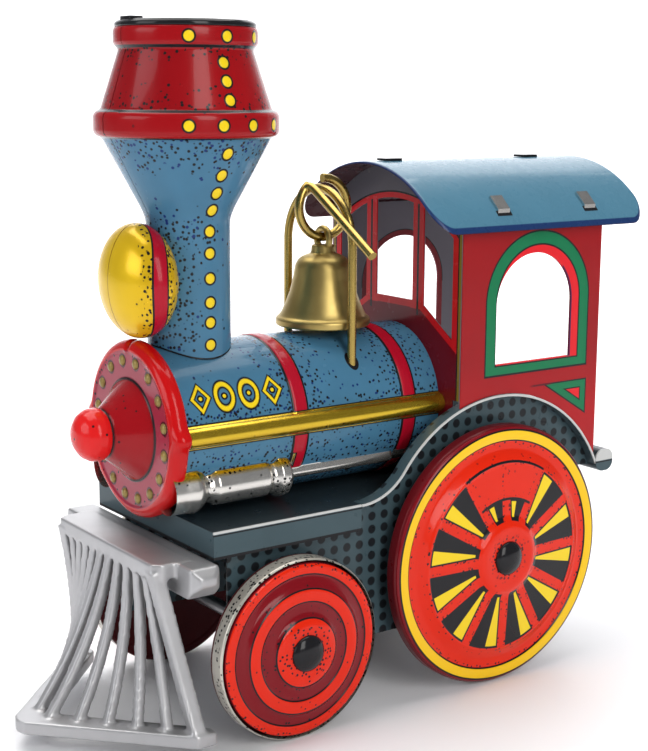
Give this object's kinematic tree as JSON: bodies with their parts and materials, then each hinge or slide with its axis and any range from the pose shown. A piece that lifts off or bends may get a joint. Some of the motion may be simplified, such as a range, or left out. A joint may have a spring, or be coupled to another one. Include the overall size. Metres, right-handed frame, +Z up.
{
  "type": "toy train locomotive",
  "caption": "Printed tin toy steam locomotive with a funnel chimney, bell, cab, cowcatcher, large rear and small front wheels, and a friction drive.",
  "frame": {"origin": "on the surface it stands on, at the centre of its bounding box in plan", "axes": "-Y is forwards, +X is the locomotive's left side, +Z is up"},
  "size_m": [0.0658, 0.1498, 0.1456],
  "materials": {
    "litho_blue": "glossy printed tin",
    "litho_red": "glossy printed tin",
    "litho_slate": "semi gloss printed tin",
    "wheel_orange": "glossy printed tin",
    "wheel_red": "glossy printed tin",
    "black_enamel": "gloss enamel",
    "silver_casting": "aluminium paint",
    "bright_tin": "bare tinplate",
    "brass": "turned and drawn brass",
    "steel": "plain steel",
    "gear_brass": "stamped brass"
  },
  "bodies": {
    "loco": {"boiler_shell": "litho_blue", "smokebox_front": "litho_red", "stack_left": "litho_blue", "stack_right": "litho_blue", "stack_cap": "black_enamel", "bell_bail": "brass", "cab_side_left": "litho_red", "cab_side_right": "litho_red", "cab_front": "litho_red", "cab_rear": "litho_red", "roof": "litho_blue", "chassis_deck": "litho_slate", "side_plate_left": "litho_slate", "side_plate_right": "litho_slate", "rear_beam": "litho_slate", "coupling_tab": "litho_slate", "pilot": "silver_casting", "motor_plate_left": "bright_tin", "motor_plate_right": "bright_tin", "motor_spacers": "steel"},
    "rear_wheelset": {"rear_axle": "steel", "rear_wheel_face_left": "wheel_orange", "rear_wheel_face_right": "wheel_orange", "rear_wheel_drum_left": "wheel_red", "rear_wheel_drum_right": "wheel_red", "rear_axle_cap_left": "black_enamel", "rear_axle_cap_right": "black_enamel", "drive_gear": "gear_brass"},
    "front_wheelset": {"front_axle": "steel", "front_wheel_face_left": "wheel_orange", "front_wheel_face_right": "wheel_orange", "front_wheel_drum_left": "bright_tin", "front_wheel_drum_right": "bright_tin", "front_axle_cap_left": "black_enamel", "front_axle_cap_right": "black_enamel"},
    "idler": {"idler_pinion": "gear_brass", "idler_gear": "gear_brass", "idler_shaft": "steel"},
    "flywheel": {"flywheel": "steel", "flywheel_shaft": "steel", "flywheel_pinion": "gear_brass"},
    "ring": {"bell_ring": "brass"},
    "bell": {"bell": "brass"},
    "clapper": {"bell_clapper": "brass"}
  },
  "joints": [
    {"name": "rear_axle_spin", "type": "hinge", "parent": "loco", "child": "rear_wheelset", "pos_m": [0, 0.02929, 0.02957], "axis": [1, 0, 0], "continuous": true},
    {"name": "front_axle_spin", "type": "hinge", "parent": "loco", "child": "front_wheelset", "pos_m": [0, -0.0247, 0.01919], "axis": [1, 0, 0], "continuous": true},
    {"name": "idler_spin", "type": "hinge", "parent": "loco", "child": "idler", "pos_m": [0, 0.01046, 0.03289], "axis": [1, 0, 0], "continuous": true},
    {"name": "flywheel_spin", "type": "hinge", "parent": "loco", "child": "flywheel", "pos_m": [0, -0.00458, 0.03447], "axis": [1, 0, 0], "continuous": true},
    {"name": "ring_swing", "type": "hinge", "parent": "loco", "child": "ring", "pos_m": [0, 0.0006, 0.1117], "axis": [1, 0, 0], "range_deg": [-4, 2]},
    {"name": "bell_sway", "type": "hinge", "parent": "ring", "child": "bell", "pos_m": [0, 0.0006, 0.1008], "axis": [0, 1, 0], "range_deg": [-2, 2]},
    {"name": "clapper_swing", "type": "hinge", "parent": "bell", "child": "clapper", "pos_m": [0, 0.0006, 0.0924], "axis": [1, 0, 0], "range_deg": [-25, 25]}
  ],
  "couplings": [
    {"joint": "idler_spin", "follows": "rear_axle_spin", "ratio": -2.8},
    {"joint": "flywheel_spin", "follows": "rear_axle_spin", "ratio": 7.7}
  ]
}
